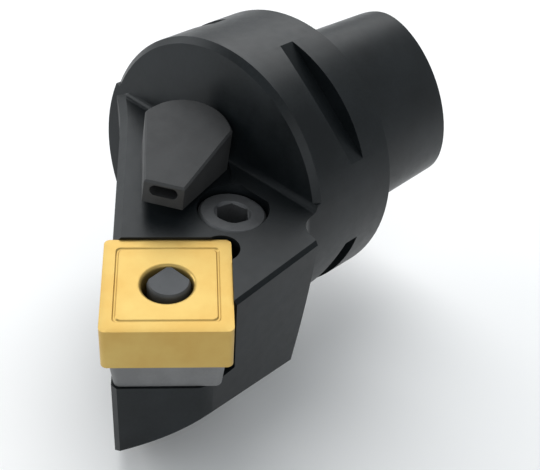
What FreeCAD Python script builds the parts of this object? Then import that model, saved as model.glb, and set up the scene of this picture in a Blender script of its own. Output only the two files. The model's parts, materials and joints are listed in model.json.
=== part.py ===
import FreeCAD, Part
import math
import os
import Sketcher

# Turning cutting head with a polygonal taper shank, a lever-clamped square insert and a coolant
# nozzle. +X is the tool axis towards the cutting end, +Z is up, and the origin is the centre of
# the flange's contact face. Lengths are in millimetres and angles in degrees.

doc = FreeCAD.newDocument("turning_tool_holder")
sheet = doc.addObject("Spreadsheet::Sheet", "dims")

driving = {
    # polygonal taper coupling
    "flangeDiameter": 40,
    "flangeLength": 16.4,
    "flangeChamfer": 0.6,
    "flangeFrontChamfer": 0.8,
    "rimRunOut": 2.5,
    "shankLength": 24,
    "shankMeanDiameter": 28,
    "shankEccentricity": 0.9,
    "shankTaperRatio": 20,
    "shankLobeAngle": 37,
    "shankEndChamfer": 0.8,
    "shankMouthDiameter": 18,
    "shankMouthDepth": 15,
    "clampGrooveDiameter": 21,
    "clampGrooveWidth": 4.5,
    "clampGrooveSetback": 6.5,
    "drawbarThreadCore": 12.4,
    "drawbarThreadDepth": 12,
    "drillPointAngle": 118,
    # gripper slots across the flange
    "slotCount": 4,
    "slotAngle": 53.7,
    "slotDepth": 2.25,
    "slotRearSetback": 6.1,
    "slotFloorWidth": 2.5,
    "slotMouthWidth": 4.6,
    # head
    "headDiameter": 54.9,
    "headRearStart": 20.0,
    "headRearLean": 12.6,
    "headRootFillet": 2.6,
    "flangeFootFillet": 1.0,
    "cuttingLength": 50,
    "cornerOffset": 14.8,
    "seatTilt": 8.46,
    "topStand": 0.3,
    "faceSetback": 1.0,
    "rightFaceOffset": 23.2,
    "frontBevel": 1.0,
    "noseBevel": 0.7,
    "flareStart": 22.3,
    "flareRimGap": 1.0,
    "leftEdgeChamfer": 1.1,
    "rightEdgeChamfer": 0.5,
    # insert and its seat
    "insertSide": 15.875,
    "insertThickness": 6.35,
    "insertCornerRadius": 0.8,
    "insertHoleDiameter": 6.35,
    "insertHoleRim": 0.4,
    "insertLandWidth": 0.5,
    "insertBreakerWidth": 1.5,
    "insertBreakerDepth": 0.22,
    "shimThickness": 4.76,
    "shimInset": 0.7,
    "shimCornerRadius": 1.4,
    "shimSideTaper": 7,
    "seatGap": 0.04,
    "wallTipFlat": 0.5,
    "pocketCornerRadius": 1.4,
    "reliefRadius": 2.4,
    "reliefFromBackWall": 2.0,
    "reliefFromSideWall": 1.3,
    # shim pin
    "shimPinDiameter": 8.2,
    "shimPinWall": 0.9,
    "shimPinLength": 5.9,
    "shimPinSink": 0.5,
    "shimPinSlit": 1.4,
    "pinHoleGap": 0.05,
    # clamping lever
    "leverHeelDepth": 4.42,
    "leverWidth": 5.4,
    "leverArmThickness": 3.8,
    "leverToeThickness": 3.0,
    "leverNeckDiameter": 4.4,
    "leverHeadDiameter": 5.4,
    "leverHeadLength": 4.6,
    "leverHeadRise": 0.1,
    "leverTopBevel": 0.5,
    "leverLean": 1.5,
    "leverSlotGap": 0.4,
    "leverFloorGap": 0.6,
    # lever screw
    "screwX": 23.6,
    "screwY": 11.1,
    "screwSink": 0.6,
    "screwHeadDiameter": 9,
    "screwHeadLength": 2.6,
    "screwThreadDiameter": 8,
    "screwNeckDiameter": 4.8,
    "screwGrooveWidth": 4.0,
    "screwCollarDiameter": 7.6,
    "screwCollarLength": 1.6,
    "screwSocketWidth": 4,
    "screwSocketDepth": 3.2,
    "screwEdgeChamfer": 0.35,
    "counterboreDiameter": 9.4,
    "screwRoom": 0.8,
    "screwEndRoom": 0.4,
    "screwHoleGap": 0.05,
    # coolant nozzle
    "nozzleX": 23.6,
    "nozzleY": 1.15,
    "nozzleHeading": 30.6,
    "nozzleSeatRise": 0.47,
    "nozzleSeatRoom": 0.4,
    "nozzleGap": 0.1,
    "nozzleRadius": 6.5,
    "nozzleReach": 8.9,
    "nozzleFlat": 5.0,
    "nozzleSideTaper": 15.9,
    "nozzleFrontHeight": 3.2,
    "nozzleTopSlope": 14.7,
    "nozzleEdgeChamfer": 0.25,
    "stemDiameter": 6.5,
    "stemLength": 8.6,
    "stemGap": 0.05,
    "stemBoreDiameter": 3,
    "outletWidth": 3.7,
    "outletHeight": 1.5,
    "outletRise": 2.0,
    "ringSection": 1.0,
    "ringGrooveWidth": 1.2,
    "ringEndDistance": 0.7,
    "coolantHoleDiameter": 2.6,
    "coolantHoleDrop": 4.8,
    "coolantHoleSide": 0.4,
    "chamberDepth": 2.6,
    # set screw that locks the nozzle's stem
    "setScrewDiameter": 4,
    "setScrewSink": 0.5,
    "setScrewSocketWidth": 2,
    "setScrewSocketDepth": 1.8,
    "setScrewPointDiameter": 2.2,
    "setScrewPointLength": 1.2,
    "setScrewGap": 0.05,
    "stemGrooveDepth": 0.8,
    "stemGrooveWidth": 2.8,
}
for row, (alias, value) in enumerate(driving.items(), 1):
    sheet.set(f"A{row}", alias)
    sheet.set(f"B{row}", str(value))
    sheet.setAlias(f"B{row}", alias)
doc.recompute()


def size(formula):
    # a formula on the sheet, as a plain number
    return float(sheet.evalExpression(formula))


# Formulas that several pieces share.
beyond = "(2 * dims.headDiameter)"
insertReach = "(dims.insertSide / sqrt(2))"
insertX = f"(dims.cuttingLength - {insertReach} * cos(dims.seatTilt))"
insertY = "dims.cornerOffset"
insertZ = f"({insertReach} * sin(dims.seatTilt))"
seatTurn = "rotation(vector(0; 1; 0); dims.seatTilt)"
sidesTurn = "rotation(vector(0; 0; 1); 45)"


def alongSeat(depth):
    # the point at a depth below the insert's top, on the axis of its hole
    x = f"{insertX} - {depth} * sin(dims.seatTilt)"
    z = f"{insertZ} - {depth} * cos(dims.seatTilt)"
    return f"vector({x}; {insertY}; {z})"


def unturned(point):
    return f"placement({point}; rotation(vector(0; 0; 1); 0))"


def topHeight(x):
    # height of the head's top plane, which is parallel to the insert's top
    return f"({insertZ} + dims.topStand - ({x} - {insertX}) * tan(dims.seatTilt))"


shimTop = "(dims.insertThickness + dims.seatGap)"
seatDepth = f"({shimTop} + dims.shimThickness + dims.seatGap)"
heelDepth = f"({seatDepth} + dims.leverHeelDepth)"
heelX = f"({insertX} - {heelDepth} * sin(dims.seatTilt))"
heelZ = f"({insertZ} - {heelDepth} * cos(dims.seatTilt))"
armAlong = f"(({heelX} - dims.screwX) / cos(dims.seatTilt))"
armAcross = f"({insertY} - dims.screwY)"
leverReach = f"sqrt({armAlong} * {armAlong} + {armAcross} * {armAcross})"
leverTurn = f"{seatTurn} * rotation(vector(0; 0; 1); 180 deg + atan({armAcross} / {armAlong}))"
toeRadius = "(dims.screwThreadDiameter / 2)"
toeDrop = f"(({leverReach} - {toeRadius}) * sin(dims.leverLean))"
toeContact = "((dims.screwThreadDiameter + dims.screwNeckDiameter) / 4)"
armRise = f"(({heelX} - dims.screwX) * tan(dims.seatTilt) * (1 - {toeContact} / {leverReach}))"
grooveHeight = f"({heelZ} + {armRise} - {toeDrop})"
seatHeight = f"({topHeight('dims.nozzleX')} + dims.nozzleSeatRise)"
screwTop = f"({topHeight('dims.screwX')} - dims.screwSink)"
sideReach = f"({insertReach} - dims.faceSetback * sqrt(2))"
stemToSide = (
    f"({sideReach} - (dims.nozzleX - {insertX}) * cos(dims.seatTilt) - {insertZ} * sin(dims.seatTilt)"
    f" + dims.nozzleY - {insertY})")
nozzleToLeftFace = f"({stemToSide} * sqrt(2) / (1 + cos(dims.seatTilt)))"
setScrewTip = "(dims.stemDiameter / 2 - dims.stemGrooveDepth + dims.setScrewGap)"


def newBody(label, placement=None):
    body = doc.addObject("PartDesign::Body", label)
    body.Label = label
    if placement:
        body.setExpression("Placement", placement)
    return body


def newSketch(body, name, role="XY_Plane", frame=None):
    sketch = body.newObject("Sketcher::SketchObject", name)
    plane = next(item for item in body.Origin.OriginFeatures if item.Role == role)
    sketch.AttachmentSupport = [(plane, "")]
    sketch.MapMode = "FlatFace"
    if frame:
        sketch.setExpression("AttachmentOffset", frame)
    return sketch


def bindSize(sketch, name, constraint, formula):
    index = sketch.addConstraint(constraint)
    sketch.renameConstraint(index, name)
    sketch.setExpression(f"Constraints.{name}", formula)


def drawOutline(sketch, corners):
    # A closed outline. A corner is (x, y), reached by a straight line, or (x, y, radius), reached
    # by an arc under half a turn: counter-clockwise for a positive radius, clockwise for a
    # negative one.
    first = len(sketch.Geometry)
    points = [FreeCAD.Vector(size(corner[0]), size(corner[1]), 0) for corner in corners]
    ends = []
    for index, corner in enumerate(corners):
        start = points[index - 1]
        end = points[index]
        ends.append((1, 2))
        if len(corner) == 2:
            sketch.addGeometry(Part.LineSegment(start, end), False)
            continue
        radius = size(corner[2])
        chord = end - start
        rise = abs(radius) - math.sqrt(max(radius ** 2 - chord.Length ** 2 / 4, 0))
        outward = FreeCAD.Vector(chord.y, -chord.x, 0).normalize() * math.copysign(rise, radius)
        middle = (start + end) * 0.5 + outward
        if radius < 0:
            ends[-1] = (2, 1)
            start, end = end, start
        sketch.addGeometry(Part.ArcOfCircle(start, middle, end), False)
    for index, corner in enumerate(corners):
        following = (index + 1) % len(corners)
        here = first + index
        sketch.addConstraint(Sketcher.Constraint(
            "Coincident", here, ends[index][1], first + following, ends[following][0]))
        place = (-1, 1, here, ends[index][1])
        acrossX = Sketcher.Constraint("DistanceX", *place, points[index].x)
        bindSize(sketch, f"x{here}", acrossX, corner[0])
        upY = Sketcher.Constraint("DistanceY", *place, points[index].y)
        bindSize(sketch, f"y{here}", upY, corner[1])
        if len(corner) == 3:
            radius = Sketcher.Constraint("Radius", here, abs(size(corner[2])))
            bindSize(sketch, f"radius{here}", radius, f"abs({corner[2]})")


def drawCircle(sketch, radius, x="0", y="0"):
    here = len(sketch.Geometry)
    centre = FreeCAD.Vector(size(x), size(y), 0)
    sketch.addGeometry(Part.Circle(centre, FreeCAD.Vector(0, 0, 1), size(radius)), False)
    place = (-1, 1, here, 3)
    bindSize(sketch, f"x{here}", Sketcher.Constraint("DistanceX", *place, centre.x), x)
    bindSize(sketch, f"y{here}", Sketcher.Constraint("DistanceY", *place, centre.y), y)
    bindSize(sketch, f"radius{here}", Sketcher.Constraint("Radius", here, size(radius)), radius)


def drawRoundedSquare(sketch, side, radius):
    half = f"({side} / 2)"
    flat = f"({half} - {radius})"
    drawOutline(sketch, [
        (half, flat),
        (flat, half, radius),
        (f"-{flat}", half),
        (f"-{half}", flat, radius),
        (f"-{half}", f"-{flat}"),
        (f"-{flat}", f"-{half}", radius),
        (flat, f"-{half}"),
        (half, f"-{flat}", radius),
    ])


def drawHexagon(sketch, acrossFlats, turn=0):
    radius = f"({acrossFlats} / sqrt(3))"
    angles = [turn + 60 * step for step in range(6)]
    drawOutline(sketch, [(f"{radius} * cos({angle})", f"{radius} * sin({angle})") for angle in angles])


def extrude(body, kind, sketch, length, reverse=False, midplane=False):
    feature = body.newObject(f"PartDesign::{kind}", sketch.Name + kind)
    feature.Profile = sketch
    feature.setExpression("Length", length)
    feature.Reversed = reverse
    feature.Midplane = midplane
    return finish(body, kind, feature)


def turn(body, kind, sketch, axis, angle="360"):
    feature = body.newObject(f"PartDesign::{kind}", sketch.Name + kind)
    feature.Profile = sketch
    feature.ReferenceAxis = (sketch, [axis])
    feature.Midplane = True
    feature.setExpression("Angle", angle)
    return finish(body, kind, feature)


def finish(body, kind, feature):
    # A cut that points away from the solid removes nothing and shows no error.
    before = body.Tip.BaseFeature.Shape.Volume if body.Tip.BaseFeature else 0
    doc.recompute()
    change = feature.Shape.Volume - before
    if (change >= 0) == (kind in ("Pocket", "Groove")):
        raise RuntimeError(f"{feature.Name} changed the volume by {change:.3f}")
    return feature


def dressEdges(body, kind, test, sizeName, formula):
    base = body.Tip
    names = [f"Edge{index}" for index, edge in enumerate(base.Shape.Edges, 1) if test(edge)]
    feature = body.newObject(f"PartDesign::{kind}", f"{body.Name}_{kind}_{len(body.Group)}")
    feature.Base = (base, names)
    feature.setExpression(sizeName, formula)
    doc.recompute()
    if not names or feature.Shape.isNull() or not feature.Shape.isValid():
        raise RuntimeError(f"{feature.Name} failed on {names}")
    return feature


def near(value, wanted):
    return abs(value - wanted) < 0.01


def onTopPlane(point):
    return near(point.z, size(topHeight(f"{point.x}")))


def isTopEdge(edge):
    return all(onTopPlane(vertex.Point) for vertex in edge.Vertexes) and onTopPlane(edge.CenterOfMass)


def isLeftTopEdge(edge):
    centre = edge.CenterOfMass
    along = (centre.x - size(insertX)) / size("cos(dims.seatTilt)")
    beyondLeft = along - centre.y + size(insertY) - size(sideReach)
    onLeft = beyondLeft > 0 or near(beyondLeft, 0)
    return isTopEdge(edge) and onLeft and not near(centre.x, size("dims.flangeLength"))


def isRightTopEdge(edge):
    return isTopEdge(edge) and near(edge.CenterOfMass.y, size("dims.rightFaceOffset"))


def isFlangeFootEdge(edge):
    return isTopEdge(edge) and near(edge.CenterOfMass.x, size("dims.flangeLength"))


# Tool body: the polygonal taper is lofted between two section curves, x = m cos a - 2e cos 2a +
# e cos 4a and y = m sin a + 2e sin 2a + e sin 4a, with m half the mean diameter there.
sectionStep = 6


def polygonSection(x, lift=0):
    mean = size("dims.shankMeanDiameter / 2") + x / size("2 * dims.shankTaperRatio") - lift
    eccentricity = size("dims.shankEccentricity")
    lobe = size("dims.shankLobeAngle")
    points = []
    for angle in range(0, 360, sectionStep):
        a = math.radians(angle)
        across = mean * math.cos(a) + eccentricity * (math.cos(4 * a) - 2 * math.cos(2 * a))
        upward = mean * math.sin(a) + eccentricity * (math.sin(4 * a) + 2 * math.sin(2 * a))
        points.append(FreeCAD.Vector(x, across, upward))
    curve = Part.BSplineCurve()
    curve.interpolate(Points=points, PeriodicFlag=True)
    wire = Part.Wire(curve.toShape())
    wire.rotate(FreeCAD.Vector(0, 0, 0), FreeCAD.Vector(1, 0, 0), lobe)
    return wire


endX = -size("dims.shankLength")
chamfer = size("dims.shankEndChamfer")
overlap = size("dims.flangeChamfer")
taper = Part.makeLoft([polygonSection(endX + chamfer), polygonSection(overlap)], True, True)
lead = Part.makeLoft([polygonSection(endX, chamfer), polygonSection(endX + chamfer)], True, True)
polygonShank = doc.addObject("Part::Feature", "polygonShank")
polygonShank.Shape = taper.fuse(lead).removeSplitter()

toolBody = newBody("tool_body")
toolBody.BaseFeature = polygonShank
doc.recompute()

# flange and head, turned from one blank
flangeRadius = "(dims.flangeDiameter / 2)"
headRadius = "(dims.headDiameter / 2)"
rearLean = "tan(dims.headRearLean)"
rootSetback = "(dims.headRootFillet * tan(45 - dims.headRearLean / 2))"
blank = newSketch(toolBody, "blankProfile")
drawOutline(blank, [
    ("0", "0"),
    ("0", f"{flangeRadius} - dims.flangeChamfer"),
    ("dims.flangeChamfer", flangeRadius),
    (f"dims.headRearStart - {rootSetback}", flangeRadius),
    (f"dims.headRearStart + {rootSetback} * sin(dims.headRearLean)",
     f"{flangeRadius} + {rootSetback} * cos(dims.headRearLean)", "dims.headRootFillet"),
    (f"dims.headRearStart + ({headRadius} - {flangeRadius}) * {rearLean}", headRadius),
    ("dims.cuttingLength + dims.cornerOffset", headRadius),
    ("dims.cuttingLength + dims.cornerOffset", "0"),
])
turn(toolBody, "Revolution", blank, "H_Axis")

# top plane, which leaves the flange's front face standing
topCut = newSketch(toolBody, "topCut", "XZ_Plane")
drawOutline(topCut, [
    ("dims.flangeLength", beyond),
    ("dims.flangeLength", topHeight('dims.flangeLength')),
    (beyond, topHeight(beyond)),
    (beyond, beyond),
])
extrude(toolBody, "Pocket", topCut, beyond, midplane=True)

# left face with its flare to the flange, front face, and right face with the bevel between them:
# all square to the insert's seat, so the sketch lies in the plane of the insert's top
def alongTop(x):
    return f"(({x} - {insertX}) / cos(dims.seatTilt))"


flareX = alongTop("dims.flareStart")
flareY = f"({flareX} - {sideReach})"
flareRun = f"({flareX} - {alongTop('dims.flangeLength')})"
flareRise = f"({flareY} + {flangeRadius} - dims.flareRimGap + {insertY})"
flareRadius = (
    f"(({flareRun} * {flareRun} + {flareRise} * {flareRise})"
    f" / sqrt(2) / ({flareRise} - {flareRun}))")
flareEndX = f"({flareX} - {flareRadius} * (1 - 1 / sqrt(2)))"
flareEndY = f"({flareY} - {flareRadius} / sqrt(2))"
rightFace = f"(dims.rightFaceOffset - {insertY})"
noseStep = "(dims.noseBevel / sqrt(2))"
bevelX = f"({sideReach} - {rightFace})"
bevelStep = "(dims.frontBevel / sqrt(2))"
sideCut = newSketch(
    toolBody, "sideCut", frame=f"placement(vector({insertX}; {insertY}; {insertZ}); {seatTurn})")
drawOutline(sideCut, [
    (flareEndX, f"-{beyond}"),
    (beyond, f"-{beyond}"),
    (beyond, beyond),
    (flareEndX, beyond),
    (flareEndX, rightFace),
    (f"{bevelX} - dims.frontBevel", rightFace),
    (f"{bevelX} + {bevelStep}", f"{rightFace} - {bevelStep}"),
    (f"{sideReach} - {noseStep}", noseStep),
    (f"{sideReach} - {noseStep}", f"-{noseStep}"),
    (flareX, flareY),
    (flareEndX, flareEndY, flareRadius),
])
extrude(toolBody, "Pocket", sideCut, beyond, midplane=True)

# flange, whole again where the side cut ran into it
flange = newSketch(toolBody, "flangeProfile")
drawOutline(flange, [
    ("dims.flangeChamfer", "0"),
    ("dims.flangeChamfer", flangeRadius),
    ("dims.flangeLength", flangeRadius),
    ("dims.flangeLength", "0"),
])
turn(toolBody, "Revolution", flange, "H_Axis")
dressEdges(toolBody, "Chamfer", isLeftTopEdge, "Size", "dims.leftEdgeChamfer")
dressEdges(toolBody, "Chamfer", isRightTopEdge, "Size", "dims.rightEdgeChamfer")
dressEdges(toolBody, "Fillet", isFlangeFootEdge, "Radius", "dims.flangeFootFillet")

# bevel on the rim of the flange's front face, from one side of the top plane to the other
rim = newSketch(toolBody, "flangeRim", "XZ_Plane")
drawOutline(rim, [
    ("dims.flangeLength - dims.flangeFrontChamfer", flangeRadius),
    ("dims.flangeLength", f"{flangeRadius} - dims.flangeFrontChamfer"),
    ("dims.flangeLength + dims.flangeFrontChamfer", flangeRadius),
    ("dims.flangeLength", f"{flangeRadius} + dims.flangeFrontChamfer"),
])
rimStart = f"(asin({topHeight('dims.flangeLength')} / {flangeRadius}) + dims.rimRunOut * 1 deg)"
turn(toolBody, "Groove", rim, "H_Axis", f"180 deg - 2 * {rimStart}")

# insert pocket: two walls at the insert's sides, its floor under the shim, and the round relief
# at the insert's inner corner
seatFrame = f"placement({alongSeat(seatDepth)}; {seatTurn})"
pocketCorner = f"({insertReach} + dims.seatGap * sqrt(2))"
wallEnd = f"(dims.rightFaceOffset - dims.wallTipFlat - {insertY})"
cornerHalf = "(dims.pocketCornerRadius / sqrt(2))"
cornerStart = f"({cornerHalf} - {pocketCorner})"
pocket = newSketch(toolBody, "insertPocket", frame=seatFrame)
drawOutline(pocket, [
    (cornerStart, cornerHalf),
    (cornerStart, f"-{cornerHalf}", "dims.pocketCornerRadius"),
    (f"{beyond} - {pocketCorner}", f"-{beyond}"),
    (beyond, f"-{beyond}"),
    (beyond, beyond),
    (f"{wallEnd} - {pocketCorner}", beyond),
    (f"{wallEnd} - {pocketCorner}", wallEnd),
])
extrude(toolBody, "Pocket", pocket, beyond, reverse=True)
reliefFrame = f"placement({alongSeat(shimTop)}; {seatTurn})"
relief = newSketch(toolBody, "cornerRelief", frame=reliefFrame)
reliefX = f"((dims.reliefFromBackWall + dims.reliefFromSideWall) / sqrt(2) - {insertReach})"
reliefY = "((dims.reliefFromBackWall - dims.reliefFromSideWall) / sqrt(2))"
drawCircle(relief, "dims.reliefRadius", reliefX, reliefY)
extrude(toolBody, "Pocket", relief, beyond, reverse=True)

# hole for the shim pin and the lever's upright, and the slot for the lever's arm under the seat
pinHole = newSketch(toolBody, "pinHole", frame=seatFrame)
drawCircle(pinHole, "dims.shimPinDiameter / 2 + dims.pinHoleGap")
slotFloor = "(dims.leverArmThickness / 2 + dims.leverFloorGap)"
extrude(toolBody, "Pocket", pinHole, f"dims.leverHeelDepth + {slotFloor}")
armSlot = newSketch(toolBody, "armSlot", frame=f"placement({alongSeat(heelDepth)}; {leverTurn})")
slotHalf = "(dims.leverWidth / 2 + dims.leverSlotGap)"
drawOutline(armSlot, [
    ("0", f"-{slotHalf}"),
    (leverReach, f"-{slotHalf}"),
    (leverReach, slotHalf),
    ("0", slotHalf),
])
extrude(toolBody, "Pocket", armSlot, f"2 * {slotFloor}", midplane=True)

# lever screw's hole and counterbore
screwPlace = f"vector(dims.screwX; dims.screwY; {screwTop})"
headFloor = "(dims.screwHeadLength + dims.screwRoom)"
grooveDrop = f"({screwTop} - {grooveHeight})"
screwLength = f"({grooveDrop} + dims.screwGrooveWidth / 2 + dims.screwCollarLength)"
screwHole = newSketch(toolBody, "screwHole", frame=unturned(screwPlace))
drawCircle(screwHole, "dims.screwThreadDiameter / 2 + dims.screwHoleGap")
extrude(toolBody, "Pocket", screwHole, f"{screwLength} + dims.screwEndRoom")
counterboreFloor = f"{screwPlace} - vector(0; 0; {headFloor})"
counterbore = newSketch(toolBody, "counterbore", frame=unturned(counterboreFloor))
drawCircle(counterbore, "dims.counterboreDiameter / 2")
extrude(toolBody, "Pocket", counterbore, f"{headFloor} + 2 * dims.screwSink", reverse=True)

# nozzle's spot face, stem bore with its coolant chamber, and the coolant hole from the shank
nozzlePlace = f"vector(dims.nozzleX; dims.nozzleY; {seatHeight})"
spotFace = newSketch(toolBody, "nozzleSeat", frame=unturned(nozzlePlace))
drawCircle(spotFace, "dims.nozzleRadius + dims.nozzleSeatRoom")
extrude(toolBody, "Pocket", spotFace, "2 * dims.flangeFootFillet", reverse=True)
stemBore = newSketch(toolBody, "stemBore", frame=unturned(nozzlePlace))
drawCircle(stemBore, "dims.stemDiameter / 2 + dims.stemGap")
extrude(toolBody, "Pocket", stemBore, "dims.stemLength + dims.chamberDepth")
coolantHole = newSketch(toolBody, "coolantHole", "YZ_Plane", unturned("vector(0; 0; dims.nozzleX)"))
drawCircle(coolantHole, "dims.coolantHoleDiameter / 2", "dims.coolantHoleSide", "-dims.coolantHoleDrop")
extrude(toolBody, "Pocket", coolantHole, "dims.nozzleX")

# shank's mouth, clamping groove and drawbar thread
threadEnd = "(dims.shankMouthDepth + dims.drawbarThreadDepth - dims.shankLength)"
mouthEnd = "(dims.shankMouthDepth - dims.shankLength)"
grooveMid = "(dims.clampGrooveSetback + dims.clampGrooveWidth / 2 - dims.shankLength)"
mouthRadius = "(dims.shankMouthDiameter / 2)"
grooveRise = f"(dims.clampGrooveDiameter / 2 - {mouthRadius})"
threadRadius = "(dims.drawbarThreadCore / 2)"
shankBore = newSketch(toolBody, "shankBore")
drawOutline(shankBore, [
    ("-dims.shankLength - dims.shankEndChamfer", "0"),
    ("-dims.shankLength - dims.shankEndChamfer", mouthRadius),
    (f"{grooveMid} - dims.clampGrooveWidth / 2 - {grooveRise}", mouthRadius),
    (f"{grooveMid} - dims.clampGrooveWidth / 2", f"{mouthRadius} + {grooveRise}"),
    (f"{grooveMid} + dims.clampGrooveWidth / 2", f"{mouthRadius} + {grooveRise}"),
    (f"{grooveMid} + dims.clampGrooveWidth / 2 + {grooveRise}", mouthRadius),
    (mouthEnd, mouthRadius),
    (mouthEnd, threadRadius),
    (threadEnd, threadRadius),
    (f"{threadEnd} + {threadRadius} / tan(dims.drillPointAngle / 2)", "0"),
])
turn(toolBody, "Groove", shankBore, "H_Axis")

# gripper slots: each is cut straight across the flange and runs out at the rim at both ends
slotFloorHeight = f"({flangeRadius} - dims.slotDepth)"
slotTurn = "rotation(vector(1; 0; 0); dims.slotAngle)"
gripSlot = newSketch(toolBody, "gripSlot", frame=f"placement(vector(0; 0; 0); {slotTurn})")
drawOutline(gripSlot, [
    ("dims.slotRearSetback", slotFloorHeight),
    ("dims.slotRearSetback + dims.slotFloorWidth", slotFloorHeight),
    ("dims.slotRearSetback + dims.slotMouthWidth", flangeRadius),
    ("dims.slotRearSetback + dims.slotMouthWidth", f"{flangeRadius} + dims.slotDepth"),
    ("dims.slotRearSetback", f"{flangeRadius} + dims.slotDepth"),
])
slotCut = extrude(toolBody, "Pocket", gripSlot, "dims.flangeDiameter", midplane=True)
slots = toolBody.newObject("PartDesign::PolarPattern", "gripSlots")
slots.Originals = [slotCut]
slots.Axis = (next(item for item in toolBody.Origin.OriginFeatures if item.Role == "X_Axis"), [""])
slots.Angle = 360
slots.setExpression("Occurrences", "dims.slotCount")
toolBody.Tip = slots
doc.recompute()

# hole of the nozzle's set screw, square to the left face
setScrewTurn = "rotation(vector(0; 0; 1); -45) * rotation(vector(0; 1; 0); 90)"
setScrewX = f"(dims.nozzleX + ({nozzleToLeftFace} - dims.setScrewSink) / sqrt(2))"
setScrewY = f"(dims.nozzleY - ({nozzleToLeftFace} - dims.setScrewSink) / sqrt(2))"
setScrewPlace = f"placement(vector({setScrewX}; {setScrewY}; 0); {setScrewTurn})"
setScrewHole = newSketch(
    toolBody, "setScrewHole",
    frame=f"placement(vector(dims.nozzleX; dims.nozzleY; 0); {setScrewTurn})")
drawCircle(setScrewHole, "dims.setScrewDiameter / 2 + dims.setScrewGap")
extrude(toolBody, "Pocket", setScrewHole, f"2 * {nozzleToLeftFace}", reverse=True)

# Insert: its top is the frame's XY plane, and its sides are parallel to X and Y.
insertPlace = f"placement(vector({insertX}; {insertY}; {insertZ}); {seatTurn} * {sidesTurn})"
insert = newBody("cutting_insert", insertPlace)
insertOutline = newSketch(insert, "insertOutline")
drawRoundedSquare(insertOutline, "dims.insertSide", "dims.insertCornerRadius")
extrude(insert, "Pad", insertOutline, "dims.insertThickness", reverse=True)
breaker = newSketch(insert, "chipBreaker")
breakerSide = "(dims.insertSide - 2 * dims.insertLandWidth)"
plateauSide = f"({breakerSide} - 2 * dims.insertBreakerWidth)"
drawRoundedSquare(breaker, breakerSide, "(dims.insertCornerRadius - dims.insertLandWidth / 2)")
drawRoundedSquare(breaker, plateauSide, "(dims.insertCornerRadius - dims.insertLandWidth)")
extrude(insert, "Pocket", breaker, "dims.insertBreakerDepth")
insertHole = newSketch(insert, "insertHole")
drawCircle(insertHole, "dims.insertHoleDiameter / 2")
extrude(insert, "Pocket", insertHole, "dims.insertThickness")


def isHoleRim(edge):
    centred = near(math.hypot(edge.CenterOfMass.x, edge.CenterOfMass.y), 0)
    return centred and near(edge.Length, math.pi * size("dims.insertHoleDiameter"))


dressEdges(insert, "Chamfer", isHoleRim, "Size", "dims.insertHoleRim")

# Shim: it stands back from the insert's sides, and its own sides lean in.
shim = newBody("insert_shim", f"placement({alongSeat(shimTop)}; {seatTurn} * {sidesTurn})")
shimOutline = newSketch(shim, "shimOutline")
drawRoundedSquare(shimOutline, "(dims.insertSide - 2 * dims.shimInset)", "dims.shimCornerRadius")
shimPlate = extrude(shim, "Pad", shimOutline, "dims.shimThickness", reverse=True)
shimPlate.setExpression("TaperAngle", "-dims.shimSideTaper")
shimHole = newSketch(shim, "shimHole")
drawCircle(shimHole, "dims.shimPinDiameter / 2 + dims.pinHoleGap")
extrude(shim, "Pocket", shimHole, "dims.shimThickness")

# Shim pin: a split tube in the shim and the body, round the lever's upright.
pinTop = f"({shimTop} + dims.shimPinSink)"
shimPin = newBody("shim_pin", f"placement({alongSeat(pinTop)}; {leverTurn})")
pinRing = newSketch(shimPin, "pinRing")
drawCircle(pinRing, "dims.shimPinDiameter / 2")
drawCircle(pinRing, "dims.shimPinDiameter / 2 - dims.shimPinWall")
extrude(shimPin, "Pad", pinRing, "dims.shimPinLength", reverse=True)
pinSlit = newSketch(shimPin, "pinSlit")
drawOutline(pinSlit, [
    ("0", "-dims.shimPinSlit / 2"),
    ("dims.shimPinDiameter", "-dims.shimPinSlit / 2"),
    ("dims.shimPinDiameter", "dims.shimPinSlit / 2"),
    ("0", "dims.shimPinSlit / 2"),
])
extrude(shimPin, "Pocket", pinSlit, "dims.shimPinLength")

# Lever: its frame's origin is the heel, X runs along the arm to the screw and Z up the upright.
leverRest = f"{leverTurn} * rotation(vector(0; 1; 0); dims.leverLean)"
lever = newBody("clamp_lever", f"placement({alongSeat(heelDepth)}; {leverRest})")
heelRadius = "(dims.leverWidth / 2)"
toeTip = f"({leverReach} - dims.screwNeckDiameter / 2 - dims.leverSlotGap)"
armHalf = "(dims.leverArmThickness / 2)"
toeHalf = "(dims.leverToeThickness / 2)"
toeStart = f"({toeTip} - dims.leverWidth / 2)"
armSide = newSketch(lever, "armSide", "XZ_Plane")
drawOutline(armSide, [
    (f"-{heelRadius}", armHalf),
    (f"-{heelRadius}", "0"),
    (f"-{heelRadius} + {armHalf}", f"-{armHalf}", armHalf),
    (toeStart, f"-{armHalf}"),
    (f"{toeTip} - {toeHalf} / 2", f"-{toeHalf}"),
    (toeTip, f"-{toeHalf} / 2", f"{toeHalf} / 2"),
    (toeTip, f"{toeHalf} / 2"),
    (f"{toeTip} - {toeHalf} / 2", toeHalf, f"{toeHalf} / 2"),
    (toeStart, armHalf),
])
extrude(lever, "Pad", armSide, "dims.leverWidth", midplane=True)
upright = newSketch(lever, "uprightProfile", "XZ_Plane")
headTop = f"({heelDepth} + dims.leverHeadRise)"
headFoot = f"({headTop} - dims.leverHeadLength)"
neckRadius = "(dims.leverNeckDiameter / 2)"
headHalf = "(dims.leverHeadDiameter / 2)"
drawOutline(upright, [
    ("0", "0"),
    (neckRadius, "0"),
    (neckRadius, f"{headFoot} - ({headHalf} - {neckRadius})"),
    (headHalf, headFoot),
    (headHalf, f"{headTop} - dims.leverTopBevel"),
    (f"{headHalf} - dims.leverTopBevel / 2", headTop),
    ("0", headTop),
])
turn(lever, "Revolution", upright, "V_Axis")

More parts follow.
